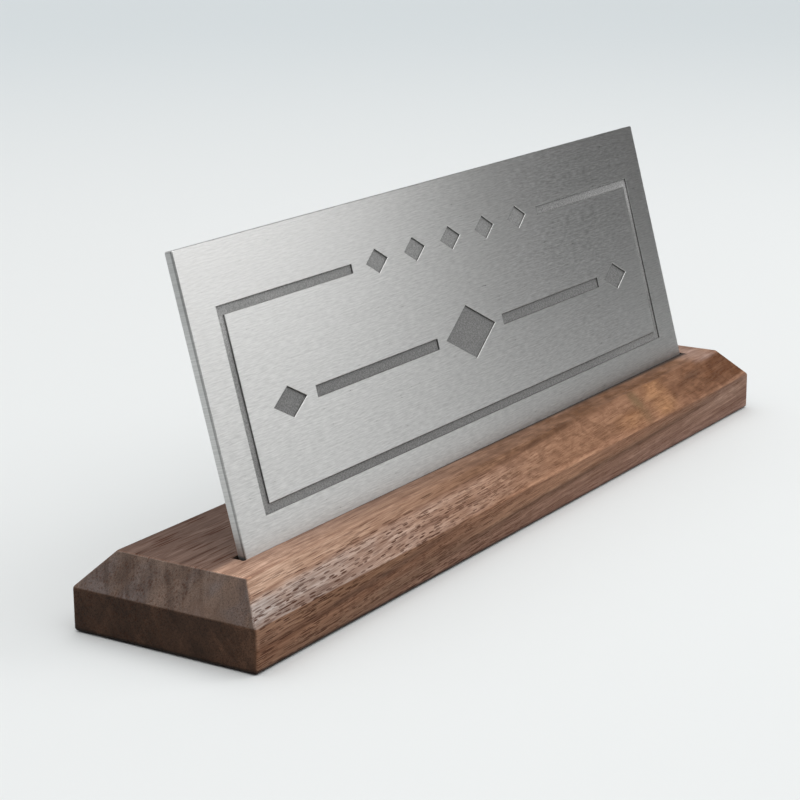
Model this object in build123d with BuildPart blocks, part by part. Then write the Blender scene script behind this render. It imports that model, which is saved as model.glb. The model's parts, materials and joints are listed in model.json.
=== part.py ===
"""Desk name plate: an engraved steel plate that leans back in a slotted, bevelled walnut block.

Millimetres, +Z up. X runs along the block, the front faces -Y, and the origin lies on the
desk, under the middle of the block.
"""
import os
from math import atan2, cos, degrees, radians, sin, tan

from build123d import *

# Steel plate
PLATE_WIDTH = 250.0
PLATE_HEIGHT = 88.0
PLATE_THICKNESS = 2.5
PLATE_CORNER_RADIUS = 0.6
PLATE_EDGE_BREAK = 0.2
PLATE_LEAN = 15.0

# Engraving in the plate's face
ENGRAVING_DEPTH = 0.5
ENGRAVING_RIM = 0.12
BORDER_SIDE_MARGIN = 11.7
BORDER_END_MARGIN = 16.5
BORDER_LINE = 2.55
BORDER_GAP = 103.6

# Small lozenges, in a row across the gap of the border
GAP_LOZENGE_LENGTH = 11.0
GAP_LOZENGE_HEIGHT = 7.0
GAP_LOZENGE_COUNT = 5
GAP_LOZENGE_CLEARANCE = 7.0

# Large ornament in the middle of the border: three lozenges joined by two bars
FIELD_MARGIN = 11.0
FIELD_DROP = 2.2
MIDDLE_LOZENGE_LENGTH = 28.0
MIDDLE_LOZENGE_HEIGHT = 16.0
END_LOZENGE_LENGTH = 15.0
END_LOZENGE_HEIGHT = 8.5
BAR_HEIGHT = 3.2
BAR_SPACE = 4.5

# Walnut block
BASE_OVERHANG = 19.7
BASE_DEPTH = 58.2
SHOULDER_HEIGHT = 11.8
BEVEL_RISE = 9.2
BEVEL_RUN = 8.5
ARRIS_RADIUS = 1.0
LOWER_EDGE_RADIUS = 1.0

# Slot in the block
PLATE_SETBACK = 16.9
SLOT_DEPTH = 8.2
SLOT_FIT = 0.12
SLOT_END_CLEARANCE = 1.2
MOUTH_WIDTH = 1.3
MOUTH_DEPTH = 4.5
CUT_OVERRUN = 3.0

# Stick-on pads, let into the underside of the block
PAD_DIAMETER = 12.0
PAD_THICKNESS = 1.0
PAD_RECESS = 0.8
PAD_CLEARANCE = 0.2
PAD_INSET = 5.0

# Sizes and places that follow from those above
base_length = PLATE_WIDTH + 2 * BASE_OVERHANG
base_bottom = PAD_THICKNESS - PAD_RECESS
base_top = base_bottom + SHOULDER_HEIGHT + BEVEL_RISE
bevel_angle = degrees(atan2(BEVEL_RUN, BEVEL_RISE))
lean_sin = sin(radians(PLATE_LEAN))
lean_cos = cos(radians(PLATE_LEAN))
foot_line = Vector(0, PLATE_SETBACK - BASE_DEPTH / 2, base_top)

# The plate's face: its X runs along the plate, its Y up the plate from the top of the block
plate_face = Plane(origin=foot_line, x_dir=(1, 0, 0), z_dir=(0, -lean_cos, lean_sin))
plate_outward = Axis(plate_face.origin, plate_face.z_dir)
plate_middle = PLATE_HEIGHT / 2 - SLOT_DEPTH
border_width = PLATE_WIDTH - 2 * BORDER_SIDE_MARGIN
border_height = PLATE_HEIGHT - 2 * BORDER_END_MARGIN
border_top_line = plate_middle + border_height / 2 - BORDER_LINE / 2

# The slot's section: its X runs back through the plate, its Y up the plate
slot_section = Plane(origin=foot_line, x_dir=-plate_face.z_dir, z_dir=(1, 0, 0))
slot_length = PLATE_WIDTH + 2 * SLOT_END_CLEARANCE
kerf_back = PLATE_THICKNESS + SLOT_FIT
mouth_back = kerf_back + MOUTH_WIDTH
mouth_lip = mouth_back * tan(radians(PLATE_LEAN))

# Where the pads lie, one under each corner
pad_x = base_length / 2 - PAD_INSET - PAD_DIAMETER / 2
pad_y = BASE_DEPTH / 2 - PAD_INSET - PAD_DIAMETER / 2
pad_places = {
    "front_left_pad": (-pad_x, -pad_y),
    "front_right_pad": (pad_x, -pad_y),
    "rear_left_pad": (-pad_x, pad_y),
    "rear_right_pad": (pad_x, pad_y),
}


def lozenge(length, height):
    """Draws a lozenge as long and as high as given, about the present place in the sketch."""
    Polygon((length / 2, 0), (0, height / 2), (-length / 2, 0), (0, -height / 2))


os.makedirs("parts", exist_ok=True)

# Walnut block: upright sides, a bevel all round the top, a slot for the plate, and pockets for the pads
with BuildPart() as walnut_base:
    with BuildSketch(Plane.XY.offset(base_bottom)):
        Rectangle(base_length, BASE_DEPTH)
    extrude(amount=SHOULDER_HEIGHT)
    with BuildSketch(Plane.XY.offset(base_bottom + SHOULDER_HEIGHT)):
        Rectangle(base_length, BASE_DEPTH)
    extrude(amount=BEVEL_RISE, taper=bevel_angle)
    lower_edges = walnut_base.edges().group_by(Axis.Z)[0]
    fillet(walnut_base.edges() - lower_edges, radius=ARRIS_RADIUS)
    fillet(walnut_base.edges().group_by(Axis.Z)[0], radius=LOWER_EDGE_RADIUS)
    # A snug kerf grips the plate, and the lip behind it is eased so that the plate drops in
    with BuildSketch(slot_section):
        with BuildLine():
            Polyline(
                (-SLOT_FIT, CUT_OVERRUN),
                (-SLOT_FIT, -SLOT_DEPTH),
                (kerf_back, -SLOT_DEPTH),
                (kerf_back, -MOUTH_DEPTH),
                (mouth_back, mouth_lip),
                (mouth_back, mouth_lip + CUT_OVERRUN),
                close=True,
            )
        make_face()
    extrude(amount=slot_length / 2, both=True, mode=Mode.SUBTRACT)
    with BuildSketch(Plane.XY.offset(base_bottom)):
        with Locations(*pad_places.values()):
            Circle(PAD_DIAMETER / 2 + PAD_CLEARANCE)
    extrude(amount=PAD_RECESS, mode=Mode.SUBTRACT)
walnut_base.part.label = "walnut_base"
export_step(walnut_base.part, "parts/walnut_base.step")

# Steel plate: sheet with broken edges, its foot on the floor of the slot, engraved on its face
with BuildPart() as steel_plate:
    with BuildSketch(plate_face):
        with Locations((0, plate_middle)):
            RectangleRounded(PLATE_WIDTH, PLATE_HEIGHT, PLATE_CORNER_RADIUS)
    extrude(amount=-PLATE_THICKNESS)
    fillet(steel_plate.faces().sort_by(plate_outward)[-1].edges(), radius=PLATE_EDGE_BREAK)
    fillet(steel_plate.faces().sort_by(plate_outward)[0].edges(), radius=PLATE_EDGE_BREAK)
    with BuildSketch(plate_face):
        # A border line, open in the middle of its top
        with Locations((0, plate_middle)):
            Rectangle(border_width, border_height)
            Rectangle(border_width - 2 * BORDER_LINE, border_height - 2 * BORDER_LINE, mode=Mode.SUBTRACT)
        with Locations((0, border_top_line)):
            Rectangle(BORDER_GAP, 2 * BORDER_LINE, mode=Mode.SUBTRACT)
        # A row of small lozenges across that gap
        gap_row = BORDER_GAP - 2 * GAP_LOZENGE_CLEARANCE - GAP_LOZENGE_LENGTH
        with Locations((0, border_top_line)):
            with GridLocations(gap_row / (GAP_LOZENGE_COUNT - 1), 0, GAP_LOZENGE_COUNT, 1):
                lozenge(GAP_LOZENGE_LENGTH, GAP_LOZENGE_HEIGHT)
        # A large lozenge, and a bar and a smaller lozenge on each side of it
        field_half = border_width / 2 - BORDER_LINE - FIELD_MARGIN
        bar_start = MIDDLE_LOZENGE_LENGTH / 2 + BAR_SPACE
        bar_end = field_half - END_LOZENGE_LENGTH - BAR_SPACE
        with Locations((0, plate_middle - FIELD_DROP)):
            lozenge(MIDDLE_LOZENGE_LENGTH, MIDDLE_LOZENGE_HEIGHT)
            with GridLocations(bar_start + bar_end, 0, 2, 1):
                Rectangle(bar_end - bar_start, BAR_HEIGHT)
            with GridLocations(2 * field_half - END_LOZENGE_LENGTH, 0, 2, 1):
                lozenge(END_LOZENGE_LENGTH, END_LOZENGE_HEIGHT)
    extrude(amount=-ENGRAVING_DEPTH, mode=Mode.SUBTRACT)
    engraved_face = steel_plate.faces().sort_by(plate_outward)[-1]
    chamfer(engraved_face.inner_wires().edges(), length=ENGRAVING_RIM)
steel_plate.part.label = "steel_plate"
export_step(steel_plate.part, "parts/steel_plate.step")

# Four round pads, stuck into their pockets
for pad_name, pad_place in pad_places.items():
    with BuildPart() as pad:
        with BuildSketch():
            with Locations(pad_place):
                Circle(PAD_DIAMETER / 2)
        extrude(amount=PAD_THICKNESS)
    pad.part.label = pad_name
    export_step(pad.part, f"parts/{pad_name}.step")
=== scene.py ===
"""Looks of a desk name plate: oiled walnut, brushed and engraved steel, and a pale studio.

Metres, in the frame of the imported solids: X runs along the block, the front faces -Y, +Z is up.
"""
import json
import logging
from dataclasses import dataclass, field
from enum import Enum
from functools import partial, partialmethod, reduce
from math import cos, radians, sin

import bpy
import numpy as np
from mathutils import Matrix, Vector


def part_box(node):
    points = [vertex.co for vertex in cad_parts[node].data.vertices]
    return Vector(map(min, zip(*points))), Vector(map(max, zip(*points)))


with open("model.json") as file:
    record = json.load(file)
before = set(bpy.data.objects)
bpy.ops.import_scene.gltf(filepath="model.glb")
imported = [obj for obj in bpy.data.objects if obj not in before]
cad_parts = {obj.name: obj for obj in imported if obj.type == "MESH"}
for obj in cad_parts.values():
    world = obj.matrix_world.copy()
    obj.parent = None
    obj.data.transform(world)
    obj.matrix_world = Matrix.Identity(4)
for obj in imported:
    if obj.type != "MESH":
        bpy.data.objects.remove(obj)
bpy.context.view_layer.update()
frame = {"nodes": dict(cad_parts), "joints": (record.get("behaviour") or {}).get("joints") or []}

LOG = logging.getLogger("name_plate")
MM = 0.001
X_AXIS = (1.0, 0.0, 0.0)
Y_AXIS = (0.0, 1.0, 0.0)
Z_AXIS = (0.0, 0.0, 1.0)
ORIGIN = (0.0, 0.0, 0.0)
NOISE_MIDDLE = 0.5

Colour = tuple[float, float, float]
Place = tuple[float, float, float]
Socket = bpy.types.NodeSocket
Node = bpy.types.Node
Material = bpy.types.Material
Number = float | Socket
Paint = Colour | Socket


class Operation(Enum):
    """What a math node does with its numbers."""

    SUM = "ADD"
    DIFFERENCE = "SUBTRACT"
    PRODUCT = "MULTIPLY"
    QUOTIENT = "DIVIDE"
    POWER = "POWER"
    HIGHER = "MAXIMUM"
    BELOW = "LESS_THAN"
    ABOVE = "GREATER_THAN"
    SIZE = "ABSOLUTE"
    FRACTION = "FRACT"


class VectorOperation(Enum):
    """What a vector math node does, and the output that holds its result."""

    SUM = ("ADD", "Vector")
    DIFFERENCE = ("SUBTRACT", "Vector")
    PRODUCT = ("MULTIPLY", "Vector")
    DOT = ("DOT_PRODUCT", "Value")
    LENGTH = ("LENGTH", "Value")


class Blend(Enum):
    """How one colour goes over another."""

    COVER = "MIX"
    SHADE = "MULTIPLY"


@dataclass(frozen=True)
class Ramp:
    """A smooth step: numbers up to low give start, and numbers from high on give end."""

    low: Number
    high: Number
    start: Number = 0.0
    end: Number = 1.0


@dataclass(frozen=True)
class Noise:
    """A cloudy pattern, of which a unit measures length along X and width along Y and Z.

    Detail counts the finer layers that are added, rough is their strength, and swirl twists the pattern.
    """

    length: float
    width: float
    detail: float = 2.0
    rough: float = 0.6
    swirl: float = 0.0


class Graph:
    """The node tree of a material or of the world, with short calls that add nodes and join them."""

    # Where a mix node keeps its share, its two colours and its result
    MIX_SHARE = 0
    MIX_COLOURS = (6, 7)
    MIXED_COLOUR = 2

    def __init__(self, tree: bpy.types.NodeTree) -> None:
        """Takes a node tree and empties it."""
        self.tree = tree
        tree.nodes.clear()

    def add(self, kind: str, **settings: object) -> Node:
        """Adds a node.

        Args:
            kind: node type, such as ShaderNodeMath.
            settings: attributes to set on it.

        Returns:
            The new node.
        """
        node = self.tree.nodes.new(kind)
        for name, value in settings.items():
            setattr(node, name, value)
        return node

    def feed(self, socket: Socket, value: object) -> None:
        """Joins an output to an input, or sets the input's own value.

        Args:
            socket: input to fill.
            value: an output socket, a number, or a tuple.
        """
        if isinstance(value, Socket):
            self.tree.links.new(value, socket)
        else:
            socket.default_value = value

    def feed_named(self, node: Node, values: dict[str, object]) -> None:
        """Feeds inputs of a node by their names."""
        for name, value in values.items():
            self.feed(node.inputs[name], value)

    def result(self, kind: str, values: tuple, output: int | str = 0, **settings: object) -> Socket:
        """Adds a node, feeds it and reads it.

        Args:
            kind: node type.
            values: what its first inputs take, in their order.
            output: number or name of the output to read.
            settings: attributes to set on it.

        Returns:
            That output.
        """
        node = self.add(kind, **settings)
        for socket, value in zip(node.inputs, values):
            self.feed(socket, value)
        return node.outputs[output]

    def math(self, operation: Operation, first: Number, second: Number = 0.0, clamp: bool = False) -> Socket:
        """Adds a math node, which may keep its result between 0 and 1."""
        return self.result("ShaderNodeMath", (first, second), operation=operation.value, use_clamp=clamp)

    # Math nodes by name, for one number or two; below and above give 1 where they hold, else 0
    sum = partialmethod(math, Operation.SUM)
    difference = partialmethod(math, Operation.DIFFERENCE)
    quotient = partialmethod(math, Operation.QUOTIENT)
    power = partialmethod(math, Operation.POWER)
    below = partialmethod(math, Operation.BELOW)
    above = partialmethod(math, Operation.ABOVE)
    size = partialmethod(math, Operation.SIZE)
    fraction = partialmethod(math, Operation.FRACTION)

    def product(self, first: Number, *others: Number, clamp: bool = False) -> Socket:
        """Multiplies two numbers or more, and may keep the result between 0 and 1."""
        start = reduce(partial(self.math, Operation.PRODUCT), others[:-1], first)
        return self.math(Operation.PRODUCT, start, others[-1], clamp)

    def highest(self, *values: Number) -> Socket:
        """Returns the highest of some numbers."""
        return reduce(partial(self.math, Operation.HIGHER), values)

    def vector(self, operation: VectorOperation, first: Socket, second: Place | Socket = ORIGIN) -> Socket:
        """Adds a vector math node, which gives a vector or a number."""
        kind, output = operation.value
        return self.result("ShaderNodeVectorMath", (first, second), output, operation=kind)

    def dot(self, vector: Socket, direction: Place | np.ndarray) -> Socket:
        """Returns how far a vector reaches along a direction."""
        return self.vector(VectorOperation.DOT, vector, tuple(direction))

    def stretched(self, place: Socket, length: float, width: float) -> Socket:
        """Returns a place in units that measure a length along X and a width along Y and Z."""
        return self.vector(VectorOperation.PRODUCT, place, (1 / length, 1 / width, 1 / width))

    def combine(self, *parts: Number) -> Socket:
        """Makes a vector of its X, Y and Z."""
        return self.result("ShaderNodeCombineXYZ", parts)

    def step(self, value: Number, ramp: Ramp) -> Socket:
        """Puts a number through a smooth step."""
        values = (value, ramp.low, ramp.high, ramp.start, ramp.end)
        return self.result("ShaderNodeMapRange", values, interpolation_type="SMOOTHSTEP")

    def noise(self, place: Socket, noise: Noise, output: int | str = 0) -> Socket:
        """Adds a noise texture.

        Args:
            place: place to read the noise at.
            noise: its size and its character.
            output: number or name of the output to read.

        Returns:
            That output, of which the first is a value, about 0 to 1.
        """
        node = self.add("ShaderNodeTexNoise")
        self.feed_named(node, {
            "Vector": self.stretched(place, noise.length, noise.width),
            "Scale": 1.0,
            "Detail": noise.detail,
            "Roughness": noise.rough,
            "Distortion": noise.swirl,
        })
        return node.outputs[output]

    def mix(self, share: Number, first: Paint, second: Paint, blend: Blend = Blend.COVER) -> Socket:
        """Mixes two colours.

        Args:
            share: 0 gives the first, 1 the second.
            first: first colour.
            second: second colour.
            blend: how the second goes over the first.

        Returns:
            The mixed colour.
        """
        node = self.add("ShaderNodeMix", data_type="RGBA", blend_type=blend.value)
        self.feed(node.inputs[self.MIX_SHARE], share)
        for place, colour in zip(self.MIX_COLOURS, (first, second)):
            self.feed(node.inputs[place], (*colour, 1.0) if isinstance(colour, tuple) else colour)
        return node.outputs[self.MIXED_COLOUR]

    def shade(self, colour: Paint, tone: Socket) -> Socket:
        """Multiplies a colour by a tone, alike in red, green and blue."""
        return self.mix(1.0, colour, self.combine(tone, tone, tone), Blend.SHADE)

    def tint(self, tone: Socket, powers: Colour) -> Socket:
        """Returns a colour: a tone raised to one power each for red, green and blue."""
        return self.combine(*(self.power(tone, power) for power in powers))

    def bump(self, height: Socket, distance: float, strength: float) -> Socket:
        """Bends the normal by a height.

        Args:
            height: height of the surface, 0 to 1.
            distance: what a height of 1 measures, in metres.
            strength: share of the bump that shows.

        Returns:
            The bent normal.
        """
        node = self.add("ShaderNodeBump")
        self.feed_named(node, {"Strength": strength, "Distance": distance, "Height": height})
        return node.outputs["Normal"]

    def place(self) -> Socket:
        """Returns the place of a point on its piece."""
        return self.add("ShaderNodeTexCoord").outputs["Object"]

    def normal(self) -> Socket:
        """Returns the way that the surface faces."""
        return self.add("ShaderNodeNewGeometry").outputs["True Normal"]


def new_material(name: str) -> tuple[Material, Graph, Node]:
    """Makes a material with one shader.

    Args:
        name: name of the material.

    Returns:
        The material, its node graph and its shader node.
    """
    material = bpy.data.materials.new(name)
    material.use_nodes = True
    graph = Graph(material.node_tree)
    shader = graph.add("ShaderNodeBsdfPrincipled")
    output = graph.add("ShaderNodeOutputMaterial")
    graph.feed(output.inputs["Surface"], shader.outputs[0])
    return material, graph, shader


def dress(node: str, material: Material) -> None:
    """Gives a CAD node one material and reports it.

    Args:
        node: name of the node.
        material: what it wears.
    """
    slots = frame["nodes"][node].data.materials
    slots.clear()
    slots.append(material)
    LOG.info("%s wears %s", node, material.name)


@dataclass(frozen=True)
class WoodPlace:
    """A point of the block, as sockets.

    Attributes:
        graph: graph that the sockets belong to.
        spot: its place in the frame, which x, y and z give in numbers.
        grain: its place in the grain, of which along is the part along X.
        growth: how far it lies out from the pith, counted from the frame's origin.
        streak: broad noise along the grain.
        fibre: fine noise along the grain.
        upward: 1 where the surface faces up, as on the top and the bevels.
        across: 1 where the surface cuts the grain, as on the ends.
        top: height of the block's top, a plain number.
    """

    graph: Graph
    spot: Socket
    x: Socket
    y: Socket
    z: Socket
    grain: Socket
    along: Socket
    growth: Socket
    streak: Socket
    fibre: Socket
    upward: Socket
    across: Socket
    top: float


@dataclass(frozen=True)
class Patch:
    """A patch of another colour, which lies between two growth distances and fades along the grain."""

    colour: Colour
    middle: float
    half_length: float
    growth: tuple[float, float]
    fade: float = 1.2 * MM
    bevel_only: bool = False

    def share(self, wood: WoodPlace) -> Socket:
        """Works out how much of the patch shows.

        Args:
            wood: point of the block.

        Returns:
            1 in the middle of the patch, 0 outside it.
        """
        graph = wood.graph
        inner, outer = self.growth
        aside = graph.size(graph.difference(wood.along, self.middle))
        near = graph.step(aside, Ramp(0.0, self.half_length, 1.0, 0.0))
        beyond = graph.step(wood.growth, Ramp(inner - self.fade, inner + self.fade))
        short = graph.step(wood.growth, Ramp(outer - self.fade, outer + self.fade, 1.0, 0.0))
        return graph.product(near, beyond, short)


@dataclass(frozen=True)
class Pores:
    """Open pores of one size: cells drawn out along the grain, of which a share holds a dark dash."""

    length: float
    width: float
    cell_share: float
    # Where the pores show by growth distance, and how far they gather in zones, if they do
    growth: tuple[Ramp, ...]
    gathering: Ramp | None = None
    zones: Noise = Noise(45 * MM, 4 * MM, 1.0)
    # The share of lots that goes from no pore to a full one, a full one's size in cells, and its look
    lot_spread: float = 0.2
    full_size: float = 0.43
    sharpness: float = 12.0
    depth: Ramp = Ramp(0.0, 1.0, 0.45, 1.0)

    def marks(self, wood: WoodPlace) -> Socket:
        """Draws the pores, each from the lots of its own cell.

        Args:
            wood: point of the block.

        Returns:
            Up to 1 in a pore, 0 outside.
        """
        graph = wood.graph
        cells = graph.add("ShaderNodeTexVoronoi", feature="F1")
        cell = graph.stretched(wood.grain, self.length, self.width)
        graph.feed_named(cells, {"Vector": cell, "Scale": 1.0})
        lots = graph.add("ShaderNodeSeparateColor")
        graph.feed(lots.inputs[0], cells.outputs["Color"])
        first_lot = 1.0 - self.cell_share
        drawn = graph.step(lots.outputs[0], Ramp(first_lot, first_lot + self.lot_spread))
        reach = graph.difference(graph.product(drawn, self.full_size), cells.outputs["Distance"])
        inside = graph.product(reach, self.sharpness, clamp=True)
        where = [graph.step(wood.growth, ramp) for ramp in self.growth]
        if self.gathering:
            where.append(graph.step(graph.noise(wood.grain, self.zones), self.gathering))
        return graph.product(inside, graph.step(lots.outputs[1], self.depth), *where)


@dataclass(frozen=True)
class LongGrain:
    """The wood along its grain: veins, fibres, dark lines and late wood, and curls at the right."""

    # Patterns, and the width of a year's growth
    veins: Noise = Noise(60 * MM, 1.1 * MM)
    lines: Noise = Noise(26 * MM, 1.3 * MM)
    curls: Noise = Noise(9 * MM, 4.2 * MM, 2.0, 0.5, 1.5)
    ring_width: float = 5.5 * MM
    # How light each pattern makes the wood
    vein_tone: Ramp = Ramp(0.25, 0.75, 0.80, 1.16)
    fibre_tone: Ramp = Ramp(0.25, 0.75, 0.74, 1.22)
    line_tone: Ramp = Ramp(0.54, 0.66, 1.02, 0.78)
    late_start: Ramp = Ramp(0.55, 0.95)
    late_end: Ramp = Ramp(0.95, 1.0, 1.0, 0.0)
    late_tone: Ramp = Ramp(0.0, 1.0, 1.03, 0.80)
    curl_tone: Ramp = Ramp(0.30, 0.70, 0.80, 1.18)
    # Powers that make the dark parts warmer
    warmth: Colour = (1.0, 1.25, 1.4)
    curl_warmth: Colour = (1.0, 1.15, 1.3)
    # Where along the grain the tone weakens and the curls begin, and what they reach on upward faces
    weaker: tuple[float, float] = (-70 * MM, 40 * MM)
    weaker_strength: Ramp = Ramp(0.0, 1.0, 0.85, 0.42)
    curly: tuple[float, float] = (-62 * MM, -8 * MM)
    curly_strength: Ramp = Ramp(0.0, 1.0, 0.25, 1.0)

    def tone(self, wood: WoodPlace) -> Socket:
        """Works out how light the wood is: veins, fibres, dark lines and late wood, multiplied.

        Args:
            wood: point of the block.

        Returns:
            The tone, about 1.
        """
        graph = wood.graph
        year = graph.fraction(graph.sum(graph.quotient(wood.growth, self.ring_width), wood.streak))
        late = graph.product(graph.step(year, self.late_start), graph.step(year, self.late_end))
        return graph.product(
            graph.step(graph.noise(wood.grain, self.veins), self.vein_tone),
            graph.step(wood.fibre, self.fibre_tone),
            graph.step(graph.noise(wood.grain, self.lines), self.line_tone),
            graph.step(late, self.late_tone),
        )

    def paint(self, wood: WoodPlace, colour: Socket) -> Socket:
        """Lays the grain over a colour.

        Args:
            wood: point of the block.
            colour: colour of the plain wood.

        Returns:
            The grained colour.
        """
        graph = wood.graph
        at_right = graph.step(wood.upward, self.weaker_strength)
        strength = graph.step(wood.along, Ramp(*self.weaker, 1.0, at_right))
        warm = graph.tint(self.tone(wood), self.warmth)
        colour = graph.mix(strength, colour, warm, Blend.SHADE)
        at_right = graph.step(wood.upward, self.curly_strength)
        figured = graph.step(wood.along, Ramp(*self.curly, 0.0, at_right))
        curl = graph.step(graph.noise(wood.grain, self.curls), self.curl_tone)
        return graph.mix(figured, colour, graph.tint(curl, self.curl_warmth), Blend.SHADE)


@dataclass(frozen=True)
class EndGrain:
    """The block's ends: dark and speckled where upright, and greyed by a painted sheen where they slant
    upward.
    """

    upright: Colour = (0.088, 0.047, 0.029)
    # Where the ends slant upward: end grain greyed and lightened as a painted sheen, cool where it is a
    # painted reflection
    slant_sheen: Colour = (0.410, 0.325, 0.275)
    slant_cool_reflection: Colour = (0.350, 0.335, 0.340)
    # Patterns
    streaks: Noise = Noise(3.6 * MM, 14 * MM, 3.0, 0.6, 0.6)
    streak_lean: float = 0.62
    clouds: Noise = Noise(8 * MM, 8 * MM, 4.0)
    speckles: Noise = Noise(0.5 * MM, 0.35 * MM)
    reflection_patches: Noise = Noise(30 * MM, 13 * MM)
    ring_width: float = 11 * MM
    # Upright part: how light each pattern makes it, and how it darkens toward the rear
    cloud_tone: Ramp = Ramp(0.30, 0.70, 0.80, 1.20)
    streak_tone: Ramp = Ramp(0.30, 0.70, 0.72, 1.26)
    ring_tone: Ramp = Ramp(0.75, 0.97, 0.97, 1.14)
    speckle_tone: Ramp = Ramp(0.34, 0.58, 0.55, 1.15)
    upright_share: Ramp = Ramp(0.85, 0.98)
    rear_tone: Ramp = Ramp(-28 * MM, -8 * MM, 1.45, 0.85)
    # Slanting part: where the painted sheen lies, how light it is, and where it takes a cool painted
    # reflection
    slant_share: Ramp = Ramp(0.40, 0.72)
    cloud_share: Ramp = Ramp(0.34, 0.62, 0.55, 1.1)
    streak_share: Ramp = Ramp(0.32, 0.64, 0.62, 1.12)
    sheen_speckles: Ramp = Ramp(0.55, 1.15, 0.80, 1.12)
    sheen_streaks: Ramp = Ramp(0.30, 0.70, 0.86, 1.16)
    sheen_rear: Ramp = Ramp(-26 * MM, -10 * MM, 0.72, 1.06)
    reflection_share: Ramp = Ramp(0.44, 0.60)

    def paint(self, wood: WoodPlace, colour: Socket) -> Socket:
        """Lays the end grain over a colour, where the surface cuts the grain, with a painted sheen where it
        slants upward.

        Args:
            wood: point of the block.
            colour: colour of the wood along its grain.

        Returns:
            The colour with the ends in it.
        """
        graph = wood.graph
        lean = graph.difference(wood.y, graph.product(wood.z, self.streak_lean))
        streaks = graph.noise(graph.combine(lean, wood.z, 0.0), self.streaks)
        clouds = graph.noise(wood.spot, self.clouds)
        speckles = graph.step(graph.noise(wood.spot, self.speckles), self.speckle_tone)

        year = graph.fraction(graph.quotient(wood.growth, self.ring_width))
        at_end = graph.step(wood.across, self.upright_share)
        upright = graph.shade(self.upright, graph.product(
            graph.step(clouds, self.cloud_tone),
            graph.step(streaks, self.streak_tone),
            graph.step(year, self.ring_tone),
            speckles,
            graph.power(graph.step(wood.y, self.rear_tone), at_end),
        ))

        # Painted sheen on the slanting ends, lighter toward the front
        sheen_tone = graph.product(
            graph.step(speckles, self.sheen_speckles),
            graph.step(streaks, self.sheen_streaks),
            graph.step(wood.y, self.sheen_rear),
        )
        cool_reflection = graph.step(graph.noise(wood.spot, self.reflection_patches), self.reflection_share)
        sheen_colour = graph.shade(graph.mix(cool_reflection, self.slant_sheen, self.slant_cool_reflection), sheen_tone)
        sheen_share = graph.product(
            graph.step(wood.across, self.slant_share),
            wood.upward,
            graph.step(clouds, self.cloud_share),
            graph.step(streaks, self.streak_share),
            clamp=True,
        )
        return graph.mix(wood.across, graph.mix(sheen_share, colour, sheen_colour), upright)


@dataclass(frozen=True)
class SlotPaintedShade:
    """The slot's walls and a strip on its front lip, darkened as painted shade that is wider at the right.
    """

    # Colour of the painted shade in the slot and on its lip
    colour: Colour = (0.030, 0.018, 0.013)
    # The slot, from front to rear and along the block
    middle: float = -11.4 * MM
    reach: float = 4.5 * MM
    half_length: float = 126.4 * MM
    # Its lip: how far under the top it goes, where it lies, and how wide its shade is in the middle
    lip_drop: float = 0.15 * MM
    lip: float = -12.3 * MM
    shade_width: float = 1.4 * MM
    # How far the start of the shade and its full dark move to the front, per metre to the right
    shade_spread: float = 0.0102
    gap_spread: float = 0.0060

    def share(self, wood: WoodPlace) -> Socket:
        """Works out how much painted shade lies in the slot and on its lip.

        Args:
            wood: point of the block.

        Returns:
            1 in the slot and at its lip, fading to 0 a short way in front of it.
        """
        graph = wood.graph
        lip_height = wood.top - self.lip_drop
        # Painted shade in the recess: the slot's walls, nearly black
        shaded_walls = graph.product(
            graph.below(graph.size(graph.difference(wood.y, self.middle)), self.reach),
            graph.below(wood.z, lip_height),
            graph.above(wood.z, wood.top / 2),
        )
        # Painted shadow on the front lip in front of the plate's foot, wider toward the right
        start = graph.difference(self.lip - self.shade_width, graph.product(wood.x, self.shade_spread))
        full = graph.difference(self.lip, graph.product(wood.x, self.gap_spread))
        lip = graph.product(
            graph.step(wood.y, Ramp(start, full)),
            graph.below(wood.y, self.middle),
            graph.above(wood.z, lip_height),
        )
        within = graph.below(graph.size(wood.x), self.half_length)
        return graph.product(graph.highest(shaded_walls, lip), within)


@dataclass(frozen=True)
class EdgeHighlightAndShadow:
    """The block's edges: a painted highlight on the arris at each end of the top, and a painted contact
    shadow where the block meets the desk.
    """

    # The arris beyond half the top's length, by height from the top, where the highlight is painted
    top_half: float = 134.5 * MM
    arris: Ramp = Ramp(-0.42 * MM, -0.21 * MM)
    arris_end: float = -0.035 * MM
    arris_highlight: Ramp = Ramp(0.0, 1.0, 1.0, 1.5)
    # The foot's painted contact shadow: between which heights it fades out, and how dark it is along the
    # block
    foot_shadow: tuple[float, float] = (0.6 * MM, 1.8 * MM)
    foot_shadow_tone: Ramp = Ramp(-70 * MM, 50 * MM, 0.18, 0.7)

    def tone(self, wood: WoodPlace) -> Socket:
        """Works out the painted highlight and shadow on the edges.

        Args:
            wood: point of the block.

        Returns:
            The tone, 1 away from the edges.
        """
        graph = wood.graph
        rise = graph.difference(wood.z, wood.top)
        # Painted highlight on the top's arris at each end
        highlit_arris = graph.product(
            graph.above(graph.size(wood.x), self.top_half),
            graph.step(rise, self.arris),
            graph.below(rise, self.arris_end),
        )
        # Painted contact shadow along the block's foot, darkest at the left
        foot_shadow = graph.step(wood.z, Ramp(*self.foot_shadow, graph.step(wood.along, self.foot_shadow_tone), 1.0))
        return graph.product(graph.step(highlit_arris, self.arris_highlight), foot_shadow)


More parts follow.
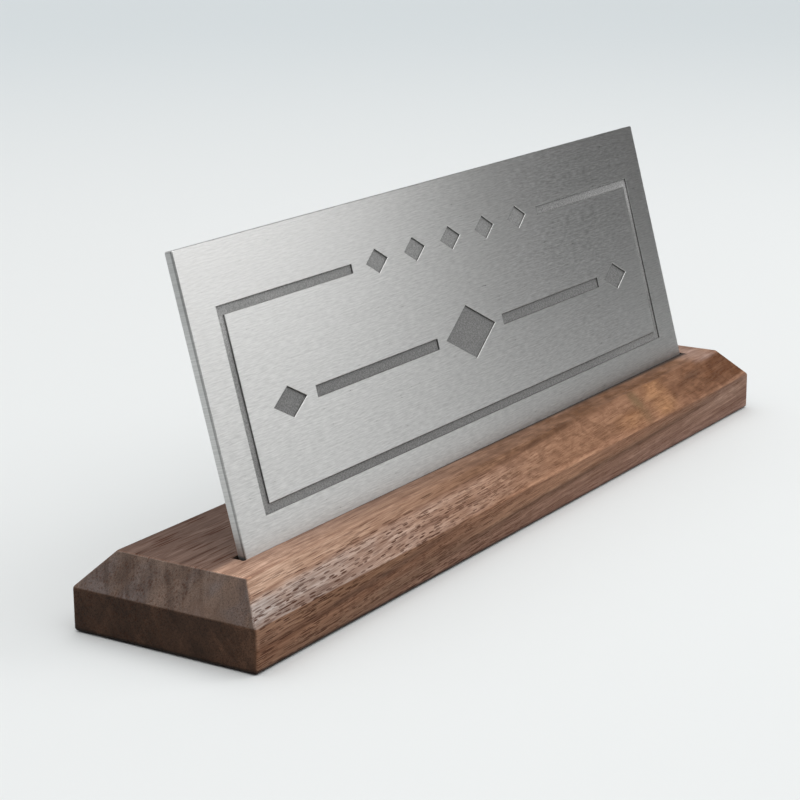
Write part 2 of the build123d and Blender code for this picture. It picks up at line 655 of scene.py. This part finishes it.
@dataclass(frozen=True)
class WalnutFinish:
    """Oiled walnut as one solid pattern: growth bands round a far pith, with the grain along X."""

    # Growth distance and colour of each band, from the front to the rear
    bands: tuple[tuple[float, Colour], ...] = (
        (-30 * MM, (0.490, 0.300, 0.236)),
        (-26 * MM, (0.430, 0.248, 0.180)),
        (-23.4 * MM, (0.400, 0.222, 0.148)),
        (-22.5 * MM, (0.215, 0.110, 0.066)),
        (-21.5 * MM, (0.460, 0.246, 0.150)),
        (-19 * MM, (0.440, 0.226, 0.132)),
        (-17.5 * MM, (0.350, 0.178, 0.099)),
        (-9 * MM, (0.375, 0.196, 0.113)),
        (-3 * MM, (0.365, 0.212, 0.138)),
        (1 * MM, (0.275, 0.165, 0.117)),
        (6 * MM, (0.184, 0.110, 0.081)),
        (32 * MM, (0.168, 0.100, 0.074)),
    )
    patches: tuple[Patch, ...] = (
        # The first patch darkens the top toward the right: partly the wood's tone, partly painted shade from
        # the plate
        Patch((0.150, 0.064, 0.025), 62 * MM, 175 * MM, (-9 * MM, 10 * MM)),
        Patch((0.155, 0.060, 0.024), 150 * MM, 110 * MM, (-21 * MM, -9 * MM)),
        Patch((0.450, 0.226, 0.108), 84 * MM, 13 * MM, (-20 * MM, -9 * MM)),
        Patch((0.240, 0.140, 0.070), 71 * MM, 5 * MM, (-20 * MM, -9 * MM)),
        Patch((0.430, 0.285, 0.230), 128 * MM, 13 * MM, (-11 * MM, 4 * MM)),
        Patch((0.130, 0.062, 0.034), 112 * MM, 10 * MM, (-14.6 * MM, -12.4 * MM), 0.8 * MM),
        Patch((0.430, 0.214, 0.104), 62 * MM, 14 * MM, (-20 * MM, -14 * MM)),
        Patch((0.500, 0.280, 0.180), -150 * MM, 45 * MM, (-18.6 * MM, -15 * MM)),
        Patch((0.180, 0.092, 0.056), -95 * MM, 64 * MM, (-19.3 * MM, -18.2 * MM), 0.6 * MM),
        Patch((0.340, 0.190, 0.120), -88 * MM, 95 * MM, (-22.6 * MM, -20.4 * MM), 0.8 * MM),
        Patch((0.560, 0.304, 0.184), 16 * MM, 70 * MM, (-22 * MM, -19 * MM), 0.8 * MM),
        Patch((0.460, 0.275, 0.195), 125 * MM, 60 * MM, (-25 * MM, -22.4 * MM), 0.8 * MM),
        Patch((0.600, 0.385, 0.275), -150 * MM, 130 * MM, (-11 * MM, -4 * MM)),
        # Bevel-only patches: the wood's paler, greyer tone on the lower bevel, partly a painted sheen
        Patch((0.540, 0.362, 0.280), -105 * MM, 130 * MM, (-18.5 * MM, -9.2 * MM), 1.6 * MM, True),
        Patch((0.450, 0.358, 0.314), -150 * MM, 90 * MM, (-17.5 * MM, -9.6 * MM), 1.4 * MM, True),
        Patch((0.560, 0.350, 0.250), -150 * MM, 88 * MM, (-4.5 * MM, 5 * MM)),
    )
    mottle: Noise = Noise(12 * MM, 5 * MM, 3.0)
    mottled_share: Ramp = Ramp(0.30, 0.70, 0.6, 1.15)
    # Pores: fine at the front, then short and crowded, then long, and dashes at the rear
    pores: tuple[Pores, ...] = (
        Pores(2.8 * MM, 0.40 * MM, 0.70, (Ramp(-19.5 * MM, -17.5 * MM, 0.7, 0.0),)),
        Pores(3.8 * MM, 0.50 * MM, 0.82, (Ramp(-19 * MM, -17.5 * MM), Ramp(-11.5 * MM, -8 * MM, 1.0, 0.0))),
        Pores(8 * MM, 0.46 * MM, 0.95, (Ramp(-8 * MM, -5 * MM, 1.0, 0.45),), Ramp(0.34, 0.54, 0.45, 0.9)),
        Pores(17 * MM, 0.75 * MM, 0.75, (Ramp(1 * MM, 6 * MM),)),
    )
    pore_colour: Colour = (0.086, 0.032, 0.017)
    pore_fade: Ramp = Ramp(-66 * MM, 16 * MM, 0.95, 0.24)
    pore_at_end: Ramp = Ramp(0.0, 0.8, 1.0, 0.45)
    # How the grain runs: the climb to the right, where the pith lies in Y and Z, and how it wanders
    grain_climb: float = radians(2.4)
    pith: tuple[float, float] = (-135 * MM, -63 * MM)
    wander: Noise = Noise(80 * MM, 14 * MM, 1.0, 0.5)
    wander_reach: float = 2.6 * MM
    streaks: Noise = Noise(150 * MM, 5 * MM, 3.0)
    streak_reach: float = 2.2 * MM
    fibres: Noise = Noise(9 * MM, 0.28 * MM)
    # Which faces count as upward and as cutting the grain, by the way they face
    upward: Ramp = Ramp(0.2, 0.5)
    across: Ramp = Ramp(0.15, 1.0)
    # Surface
    roughness: Ramp = Ramp(0.0, 1.0, 0.55, 0.8)
    specular: float = 0.2
    fibre_height: float = 0.4
    relief: float = 0.08 * MM
    relief_strength: float = 0.7
    # What lies over the plain wood
    long_grain: LongGrain = LongGrain()
    ends: EndGrain = EndGrain()
    slot: SlotPaintedShade = SlotPaintedShade()
    edges: EdgeHighlightAndShadow = EdgeHighlightAndShadow()

    def grain_place(self, graph: Graph, spot: Socket) -> Socket:
        """Turns a place in the frame into one in the grain, which climbs to the right and wanders.

        Args:
            graph: graph to add to.
            spot: place in the frame.

        Returns:
            The place in the grain.
        """
        turned = graph.result("ShaderNodeMapping", (spot, ORIGIN, (0.0, self.grain_climb, 0.0)))
        drift = graph.noise(turned, self.wander, "Color")
        centred = graph.vector(VectorOperation.DIFFERENCE, drift, (NOISE_MIDDLE,) * 3)
        sway = graph.vector(VectorOperation.PRODUCT, centred, (0.0, self.wander_reach, self.wander_reach))
        return graph.vector(VectorOperation.SUM, turned, sway)

    def growth(self, graph: Graph, grain: Socket, streak: Socket) -> Socket:
        """Works out how far a place lies out from the pith, counted from the frame's origin.

        Args:
            graph: graph to add to.
            grain: place in the grain.
            streak: broad noise that makes the bands ragged.

        Returns:
            The growth distance.
        """
        from_pith = graph.vector(VectorOperation.DIFFERENCE, grain, (0.0, *self.pith))
        flat = graph.vector(VectorOperation.PRODUCT, from_pith, (0.0, 1.0, 1.0))
        distance = graph.difference(graph.vector(VectorOperation.LENGTH, flat), Vector(self.pith).length)
        spread = graph.product(graph.difference(streak, NOISE_MIDDLE), self.streak_reach)
        return graph.sum(distance, spread)

    def read(self, graph: Graph, top: float) -> WoodPlace:
        """Works out where a point of the block lies.

        Args:
            graph: graph to add to.
            top: height of the block's top.

        Returns:
            The point's place in the frame and in the grain.
        """
        spot = graph.place()
        normal = graph.normal()
        grain = self.grain_place(graph, spot)
        streak = graph.noise(grain, self.streaks)
        return WoodPlace(
            graph=graph,
            spot=spot,
            x=graph.dot(spot, X_AXIS),
            y=graph.dot(spot, Y_AXIS),
            z=graph.dot(spot, Z_AXIS),
            grain=grain,
            along=graph.dot(grain, X_AXIS),
            growth=self.growth(graph, grain, streak),
            streak=streak,
            fibre=graph.noise(grain, self.fibres),
            upward=graph.step(graph.dot(normal, Z_AXIS), self.upward),
            across=graph.step(graph.size(graph.dot(normal, X_AXIS)), self.across),
            top=top,
        )

    def band_colour(self, wood: WoodPlace) -> Socket:
        """Reads the colour of the band that a point lies in.

        Args:
            wood: point of the block.

        Returns:
            The band's colour.
        """
        graph = wood.graph
        first, last = self.bands[0][0], self.bands[-1][0]
        ramp = graph.add("ShaderNodeValToRGB")
        stops = ramp.color_ramp.elements
        while len(stops) < len(self.bands):
            stops.new(1.0)
        for stop, (distance, colour) in zip(stops, self.bands):
            stop.position = (distance - first) / (last - first)
            stop.color = (*colour, 1.0)
        graph.feed(ramp.inputs[0], graph.quotient(graph.difference(wood.growth, first), last - first))
        return ramp.outputs["Color"]

    def patched(self, wood: WoodPlace) -> Socket:
        """Lays the patches over the bands, all mottled alike.

        Args:
            wood: point of the block.

        Returns:
            The colour of the plain wood.
        """
        graph = wood.graph
        colour = self.band_colour(wood)
        mottle = graph.step(graph.noise(wood.grain, self.mottle), self.mottled_share)
        for patch in self.patches:
            share = graph.product(patch.share(wood), mottle, clamp=True)
            if patch.bevel_only:
                share = graph.product(share, wood.upward)
            colour = graph.mix(share, colour, patch.colour)
        return colour

    def material(self, top: float) -> Material:
        """Makes the walnut: bands and patches, grain, ends, open pores, painted shade in the slot, and
        painted highlight and shadow on the edges.

        Args:
            top: height of the block's top.

        Returns:
            The material.
        """
        material, graph, shader = new_material("walnut")
        wood = self.read(graph, top)
        colour = self.long_grain.paint(wood, self.patched(wood))
        colour = self.ends.paint(wood, colour)
        pores = graph.highest(*(kind.marks(wood) for kind in self.pores))
        darkness = graph.product(pores, graph.step(wood.along, self.pore_fade),
                                 graph.step(wood.across, self.pore_at_end))
        colour = graph.mix(darkness, colour, self.pore_colour)
        colour = graph.mix(self.slot.share(wood), colour, self.slot.colour)
        height = graph.difference(graph.product(wood.fibre, self.fibre_height), pores)
        graph.feed_named(shader, {
            "Base Color": graph.shade(colour, self.edges.tone(wood)),
            "Roughness": graph.step(pores, self.roughness),
            "Specular IOR Level": self.specular,
            "Normal": graph.bump(height, self.relief, self.relief_strength),
        })
        return material


@dataclass(frozen=True)
class PlatePlace:
    """A point of the plate, as sockets.

    Attributes:
        graph: graph that the sockets belong to.
        plate: the plate itself.
        spot: its place in the frame.
        along: its place along the plate.
        up: its place up the plate.
        depth: how far it lies behind the plate's face.
        aside: how far it lies to either side of the plate's middle.
        row: how far it lies above or below the plate's middle.
        drop: how far it lies below the plate's top.
        engraved: 1 in the engraving, 0 elsewhere.
    """

    graph: Graph
    plate: "SteelPlate"
    spot: Socket
    along: Socket
    up: Socket
    depth: Socket
    aside: Socket
    row: Socket
    drop: Socket
    engraved: Socket


@dataclass(frozen=True)
class BrushedSteelFinish:
    """Stainless steel brushed along X, with a matte floor in its engraving."""

    steel: Colour = (0.66, 0.66, 0.65)
    engraved: Colour = (0.48, 0.48, 0.475)
    # Brushing: short strokes and long fine lines, which sway a little, and the grain of the floor
    strokes: Noise = Noise(3.4 * MM, 0.38 * MM)
    stroke_share: float = 0.65
    lines: Noise = Noise(32 * MM, 0.30 * MM, 3.0, 0.65)
    line_share: float = 0.35
    line_layer: float = 0.9 * MM
    sway: Noise = Noise(25 * MM, 11.111 * MM, 1.0, 0.5)
    sway_reach: float = 0.7 * MM
    speckles: Noise = Noise(0.4 * MM, 0.4 * MM)
    brush_tone: Ramp = Ramp(0.25, 0.75, 0.82, 1.14)
    # Engraving: deeper than the face, and clear of the plate's outline
    engraved_from: float = 0.1 * MM
    outline_margin: float = 4 * MM
    # Cut ends of the plate: a dark band near the face, and darker toward the top as a painted reflection
    cut_edge: float = 0.1 * MM
    band_start: Ramp = Ramp(0.1 * MM, 0.3 * MM)
    band_end: Ramp = Ramp(0.5 * MM, 0.9 * MM, 1.0, 0.0)
    band_tone: Ramp = Ramp(0.0, 1.0, 1.05, 0.55)
    cut_reflection_fade: Ramp = Ramp(12 * MM, 27 * MM, 0.88, 1.03)
    # Engraved floor: its grain, its walls darkened as painted shade, and how it darkens down the plate as
    # painted shade
    speckle_tone: Ramp = Ramp(0.28, 0.72, 0.68, 1.24)
    wall_shade_tone: Ramp = Ramp(0.3, 0.8, 0.45, 1.0)
    floor_light_fade: Ramp = Ramp(16 * MM, 36 * MM, 0.86, 0.64)
    # It is lighter toward the corners, and along the border's upright lines, as painted light
    corner_rows: Ramp = Ramp(10 * MM, 22 * MM)
    corner_ends: Ramp = Ramp(56 * MM, 104 * MM)
    corner_light_tone: Ramp = Ramp(0.0, 1.0, 1.0, 1.18)
    upright_ends: Ramp = Ramp(107 * MM, 110 * MM)
    upright_rows: Ramp = Ramp(14 * MM, 24 * MM, 1.0, 0.0)
    upright_rise: float = 6 * MM
    upright_light_tone: Ramp = Ramp(0.0, 1.0, 1.0, 1.32)
    # Surface, and what the engraving adds to its roughness
    metallic: Ramp = Ramp(0.0, 1.0, 1.0, 0.15)
    roughness: Ramp = Ramp(0.25, 0.75, 0.27, 0.37)
    engraved_roughness: float = 0.43
    anisotropy: float = 0.8
    relief: float = 0.012 * MM
    relief_strength: float = 0.5

    def read(self, graph: Graph, plate: "SteelPlate") -> PlatePlace:
        """Works out where a point of the plate lies.

        Args:
            graph: graph to add to.
            plate: plate that wears the finish.

        Returns:
            The point's place on the plate.
        """
        spot = graph.place()
        along = graph.dot(spot, X_AXIS)
        up = graph.dot(spot, plate.up)
        depth = graph.difference(graph.dot(spot, plate.inward), plate.face_depth)
        aside = graph.size(along)
        row = graph.size(graph.difference(up, plate.middle))
        drop = graph.difference(plate.top, up)
        engraved = graph.product(
            graph.below(aside, plate.half_width - self.outline_margin),
            graph.below(row, plate.half_height - self.outline_margin),
            graph.above(depth, self.engraved_from),
            graph.below(depth, plate.thickness / 2),
        )
        return PlatePlace(graph, plate, spot, along, up, depth, aside, row, drop, engraved)

    def brushing(self, face: PlatePlace) -> Socket:
        """Draws the brushing, as short strokes and long lines that sway together.

        Args:
            face: point of the plate.

        Returns:
            The brushing, about 0 to 1.
        """
        graph = face.graph
        sway = graph.noise(graph.combine(face.along, face.up, 0.0), self.sway)
        level = graph.sum(face.up, graph.product(sway, self.sway_reach))
        strokes = graph.noise(graph.combine(face.along, level, 0.0), self.strokes)
        lines = graph.noise(graph.combine(face.along, level, self.line_layer), self.lines)
        return graph.sum(graph.product(strokes, self.stroke_share), graph.product(lines, self.line_share))

    def steel_colour(self, face: PlatePlace, brush: Socket) -> Socket:
        """Colours the brushed steel and the plate's cut ends, which a painted reflection darkens toward the
        top.

        Args:
            face: point of the plate.
            brush: the brushing.

        Returns:
            The colour of the steel.
        """
        graph = face.graph
        at_cut = graph.below(graph.difference(face.plate.half_width, face.aside), self.cut_edge)
        band = graph.product(at_cut, graph.step(face.depth, self.band_start),
                             graph.step(face.depth, self.band_end))
        # Painted reflection: the cut ends darken toward the top
        reflection_fade = graph.power(graph.step(face.drop, self.cut_reflection_fade), at_cut)
        tone = graph.product(graph.step(brush, self.brush_tone), graph.step(band, self.band_tone), reflection_fade)
        return graph.shade(self.steel, tone)

    def floor_colour(self, face: PlatePlace, speckle: Socket) -> Socket:
        """Colours the engraved floor and its walls, with painted light and shade.

        Args:
            face: point of the plate.
            speckle: grain of the floor.

        Returns:
            The colour of the engraving.
        """
        graph, plate = face.graph, face.plate
        facing = graph.size(graph.dot(graph.normal(), plate.inward))
        corner = graph.product(graph.step(face.row, self.corner_rows),
                               graph.step(face.aside, self.corner_ends))
        raised_row = graph.size(graph.difference(face.up, plate.middle + self.upright_rise))
        upright = graph.product(graph.step(face.aside, self.upright_ends),
                                graph.step(raised_row, self.upright_rows))
        # Painted shade on the walls and lower down, painted light toward the corners and on the upright
        # lines
        return graph.shade(self.engraved, graph.product(
            graph.step(speckle, self.speckle_tone),
            graph.step(facing, self.wall_shade_tone),
            graph.step(face.drop, self.floor_light_fade),
            graph.step(corner, self.corner_light_tone),
            graph.step(upright, self.upright_light_tone),
        ))

    def material(self, plate: "SteelPlate") -> Material:
        """Makes the plate's steel.

        Args:
            plate: plate that wears the finish.

        Returns:
            The material.
        """
        material, graph, shader = new_material("brushed_steel")
        face = self.read(graph, plate)
        brush = self.brushing(face)
        speckle = graph.noise(face.spot, self.speckles)
        steel = self.steel_colour(face, brush)
        floor = self.floor_colour(face, speckle)
        rougher = graph.product(face.engraved, self.engraved_roughness)
        brushed = graph.product(brush, graph.difference(1.0, face.engraved))
        height = graph.sum(brushed, graph.product(speckle, face.engraved))
        graph.feed_named(shader, {
            "Base Color": graph.mix(face.engraved, steel, floor),
            "Metallic": graph.step(face.engraved, self.metallic),
            "Roughness": graph.sum(graph.step(brush, self.roughness), rougher),
            "Anisotropic": self.anisotropy,
            "Tangent": graph.combine(*plate.up),
            "Normal": graph.bump(height, self.relief, self.relief_strength),
        })
        return material


@dataclass(frozen=True)
class RubberFinish:
    """Matte black rubber."""

    colour: Colour = (0.022, 0.021, 0.020)
    grain: Noise = Noise(0.4 * MM, 0.4 * MM, 2.0, 0.5)
    grain_tone: Ramp = Ramp(0.2, 0.8, 0.8, 1.2)
    roughness: float = 0.8
    relief: float = 0.03 * MM
    relief_strength: float = 0.5

    def material(self) -> Material:
        """Makes rubber with a fine grain.

        Returns:
            The material.
        """
        material, graph, shader = new_material("pad_rubber")
        grain = graph.noise(graph.place(), self.grain)
        graph.feed_named(shader, {
            "Base Color": graph.shade(self.colour, graph.step(grain, self.grain_tone)),
            "Roughness": self.roughness,
            "Normal": graph.bump(grain, self.relief, self.relief_strength),
        })
        return material


@dataclass
class WalnutBlock:
    """The slotted block."""

    node: str = "walnut_base"

    def dress(self) -> None:
        """Gives the block its finish, which reads the height of its top."""
        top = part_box("walnut_base")[1][2]
        dress(self.node, WalnutFinish().material(top))


@dataclass
class SteelPlate:
    """The engraved plate, which leans back in its slot."""

    node: str = "steel_plate"
    joint: str = "plate_lift"
    # Read from the frame: two directions, and places and sizes along them
    up: np.ndarray = field(init=False)
    inward: np.ndarray = field(init=False)
    face_depth: float = field(init=False)
    thickness: float = field(init=False)
    top: float = field(init=False)
    middle: float = field(init=False)
    half_height: float = field(init=False)
    half_width: float = field(init=False)

    def __post_init__(self) -> None:
        """Reads the plate's lean from its joint, and its face and outline from its solid."""
        axis = next(joint["axis"] for joint in frame["joints"] if joint["name"] == self.joint)
        self.up = np.array(axis) / np.linalg.norm(axis)
        self.inward = np.cross(self.up, X_AXIS)
        vertices = frame["nodes"][self.node].data.vertices
        corners = np.empty(3 * len(vertices))
        vertices.foreach_get("co", corners)
        corners = corners.reshape(-1, 3)
        depths = corners @ self.inward
        heights = corners @ self.up
        self.face_depth = float(depths.min())
        self.thickness = float(np.ptp(depths))
        self.top = float(heights.max())
        self.half_height = float(np.ptp(heights)) / 2
        self.middle = self.top - self.half_height
        self.half_width = float(np.abs(corners[:, 0]).max())

    def dress(self) -> None:
        """Gives the plate its finish."""
        dress(self.node, BrushedSteelFinish().material(self))


@dataclass
class StickOnPads:
    """The four pads under the block."""

    nodes: tuple[str, ...] = ("front_left_pad", "front_right_pad", "rear_left_pad", "rear_right_pad")

    def dress(self) -> None:
        """Gives the pads their finish."""
        rubber = RubberFinish().material()
        for node in self.nodes:
            dress(node, rubber)


@dataclass
class Studio:
    """A pale floor under a soft overhead dome, with a strip lamp that the steel reflects."""

    # Floor: pale where the camera sees it, grey where it throws light back, and darker farther out as a
    # painted falloff of light
    floor_half: float = 5.0
    floor_near: Colour = (0.83, 0.85, 0.85)
    floor_far: Colour = (0.70, 0.75, 0.77)
    floor_bounce: Colour = (0.25, 0.25, 0.25)
    floor_light_fade: Ramp = Ramp(0.25, 1.6)
    floor_roughness: float = 0.6
    floor_specular: float = 0.2
    # What the steel mirrors of the pale floor: a share of it, but nothing far out at the front
    mirrored_out: Ramp = Ramp(0.3, 0.9)
    mirrored_front: Ramp = Ramp(-0.05, 0.25, 1.0, 0.0)
    mirrored_share: Ramp = Ramp(0.0, 1.0, 0.75, 0.0)
    # Dome: from the horizon to overhead, weaker at the rear and the left, dim at the right
    dome_level: Ramp = Ramp(0.30, 0.86, 0.06, 2.1)
    dome_rear: Ramp = Ramp(0.0, 0.6, 1.0, 0.85)
    dome_left: Ramp = Ramp(-0.7, -0.1, 0.75, 1.0)
    dome_right: tuple[float, float] = (0.66, 0.86)
    right_level: float = 0.076
    # Backdrop, which the steel mirrors low at the rear
    backdrop: Colour = (0.63, 0.67, 0.69)
    backdrop_rear: Ramp = Ramp(0.1, 0.5)
    backdrop_low: Ramp = Ramp(0.2, 0.5, 1.0, 0.0)
    backdrop_share: float = 0.5
    # Strip lamp
    strip_toward: Place = (0.72, -0.65, 0.60)
    strip_distance: float = 1.1
    strip_size: tuple[float, float] = (0.34, 0.95)
    strip_power: float = 1.74

    def build(self) -> None:
        """Makes the floor, the lamp and the world, and reports them."""
        self.build_floor()
        self.build_strip()
        self.build_world()
        LOG.info("floor, strip lamp and world are in place")

    def build_floor(self) -> None:
        """Makes the floor: one square, its corners at plus and minus half its size on the desk's level."""
        across = np.array([-1.0, 1.0]) * self.floor_half
        corners = np.stack(np.meshgrid(across, across, 0.0), axis=-1).reshape(-1, 3)
        mesh = bpy.data.meshes.new("floor")
        mesh.from_pydata(corners.tolist(), [], [(0, 1, 3, 2)])
        floor = bpy.data.objects.new("floor", mesh)
        bpy.context.scene.collection.objects.link(floor)
        mesh.materials.append(self.floor_material())

    def floor_material(self) -> Material:
        """Makes the floor's finish, which is greyer to light that bounces than to the camera, and darker
        farther out as a painted falloff of light.

        Returns:
            The material.
        """
        material, graph, shader = new_material("floor")
        place = graph.place()
        reach = graph.vector(VectorOperation.LENGTH, place)
        # Painted falloff of light: the floor darkens farther out
        colour = graph.mix(graph.step(reach, self.floor_light_fade), self.floor_near, self.floor_far)
        path = graph.add("ShaderNodeLightPath")
        beyond = graph.product(graph.step(reach, self.mirrored_out),
                               graph.step(graph.dot(place, Y_AXIS), self.mirrored_front))
        mirrored = graph.product(path.outputs["Is Glossy Ray"], graph.step(beyond, self.mirrored_share))
        seen = graph.highest(path.outputs["Is Camera Ray"], mirrored)
        graph.feed_named(shader, {
            "Base Color": graph.mix(seen, self.floor_bounce, colour),
            "Roughness": self.floor_roughness,
            "Specular IOR Level": self.floor_specular,
        })
        return material

    def build_strip(self) -> None:
        """Stands a tall soft lamp at the front right, which brightens the left of the steel."""
        lamp = bpy.data.lights.new("strip", "AREA")
        lamp.shape = "RECTANGLE"
        lamp.size, lamp.size_y = self.strip_size
        lamp.energy = self.strip_power
        holder = bpy.data.objects.new("strip", lamp)
        bpy.context.scene.collection.objects.link(holder)
        toward = Vector(self.strip_toward).normalized()
        holder.location = toward * self.strip_distance
        holder.rotation_euler = (-toward).to_track_quat("-Z", "Y").to_euler()
        holder.visible_camera = False

    def build_world(self) -> None:
        """Lights the set from overhead, and shows the backdrop to the camera and low in the steel."""
        world = bpy.data.worlds.new("studio")
        bpy.context.scene.world = world
        world.use_nodes = True
        graph = Graph(world.node_tree)
        direction = graph.add("ShaderNodeTexCoord").outputs["Generated"]
        x, y, z = (graph.dot(direction, axis) for axis in (X_AXIS, Y_AXIS, Z_AXIS))
        level = graph.product(graph.step(z, self.dome_level), graph.step(y, self.dome_rear),
                              graph.step(x, self.dome_left))
        lit = graph.add("ShaderNodeBackground")
        graph.feed(lit.inputs["Strength"], graph.step(x, Ramp(*self.dome_right, level, self.right_level)))
        seen = graph.result("ShaderNodeBackground", ((*self.backdrop, 1.0),))
        path = graph.add("ShaderNodeLightPath")
        mirrored = graph.product(path.outputs["Is Glossy Ray"], graph.step(y, self.backdrop_rear),
                                 graph.step(z, self.backdrop_low), self.backdrop_share)
        shown = graph.highest(path.outputs["Is Camera Ray"], mirrored)
        sky = graph.result("ShaderNodeMixShader", (shown, lit.outputs[0], seen))
        graph.feed(graph.add("ShaderNodeOutputWorld").inputs["Surface"], sky)


@dataclass
class PhotoCamera:
    """A camera that looks at the plate from the left, a little above; its angles are in degrees."""

    target: Place = (-0.00310, 0.01990, 0.03002)
    distance: float = 0.6717
    azimuth: float = -57.227
    elevation: float = 15.202
    roll: float = 0.422
    lens: float = 99.654

    def build(self) -> None:
        """Makes the camera and sets it as the scene's own."""
        turn, rise, roll = map(radians, (self.azimuth, self.elevation, self.roll))
        back = Vector((sin(turn) * cos(rise), -cos(turn) * cos(rise), sin(rise)))
        level = Vector(Z_AXIS).cross(back).normalized()
        raised = back.cross(level)
        right = cos(roll) * level - sin(roll) * raised
        up = sin(roll) * level + cos(roll) * raised
        data = bpy.data.cameras.new("camera")
        data.lens = self.lens
        camera = bpy.data.objects.new("camera", data)
        bpy.context.scene.collection.objects.link(camera)
        place = Matrix.Translation(Vector(self.target) + back * self.distance)
        camera.matrix_world = place @ Matrix((right, up, back)).transposed().to_4x4()
        bpy.context.scene.camera = camera
        LOG.info("camera is in place")


def main() -> None:
    """Dresses the pieces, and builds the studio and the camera."""
    logging.basicConfig(level=logging.INFO)
    bpy.context.scene.view_settings.view_transform = "Standard"
    WalnutBlock().dress()
    SteelPlate().dress()
    StickOnPads().dress()
    Studio().build()
    PhotoCamera().build()


if __name__ == "__main__":
    main()
